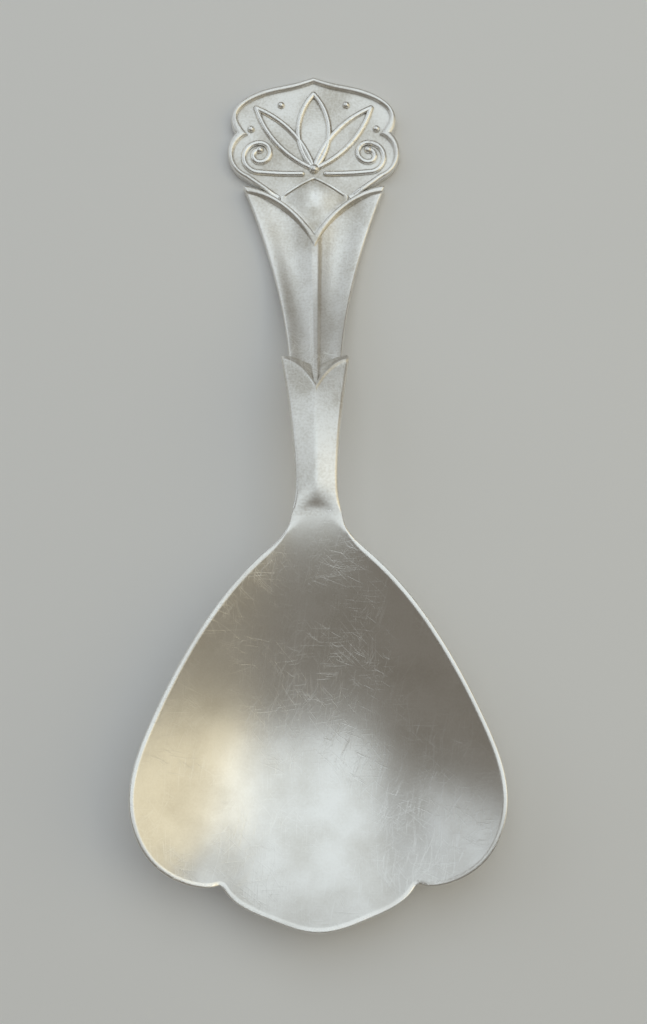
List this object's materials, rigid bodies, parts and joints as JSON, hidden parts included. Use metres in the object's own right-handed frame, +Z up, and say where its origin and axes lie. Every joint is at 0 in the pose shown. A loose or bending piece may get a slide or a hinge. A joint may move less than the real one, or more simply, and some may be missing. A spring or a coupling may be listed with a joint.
{
  "type": "sugar spoon",
  "caption": "Silver sugar spoon with a broad shallow lobed bowl, a leaf-sheathed stem and a lobed terminal with a raised border and foliate ornament.",
  "frame": {"origin": "under the middle of the spoon's length, on its plane of symmetry, at the height of the table it lies on", "axes": "+Z up, out of the bowl; +Y from the bowl's front tip to the terminal; +X to the right, seen from above with the terminal at the far end"},
  "size_m": [0.0486, 0.12, 0.0121],
  "materials": {
    "bright_silver": "polished silver with fine wear",
    "satin_silver": "satin silver, worn",
    "toned_silver": "satin silver, toned in the recess"
  },
  "bodies": {
    "root": {"bowl": "bright_silver", "lower_stem": "satin_silver", "upper_stem": "satin_silver", "terminal_plate": "toned_silver", "terminal_border": "satin_silver", "bud": "satin_silver", "palmette": "satin_silver", "scroll_left": "satin_silver", "scroll_right": "satin_silver", "berries": "satin_silver"}
  },
  "joints": []
}
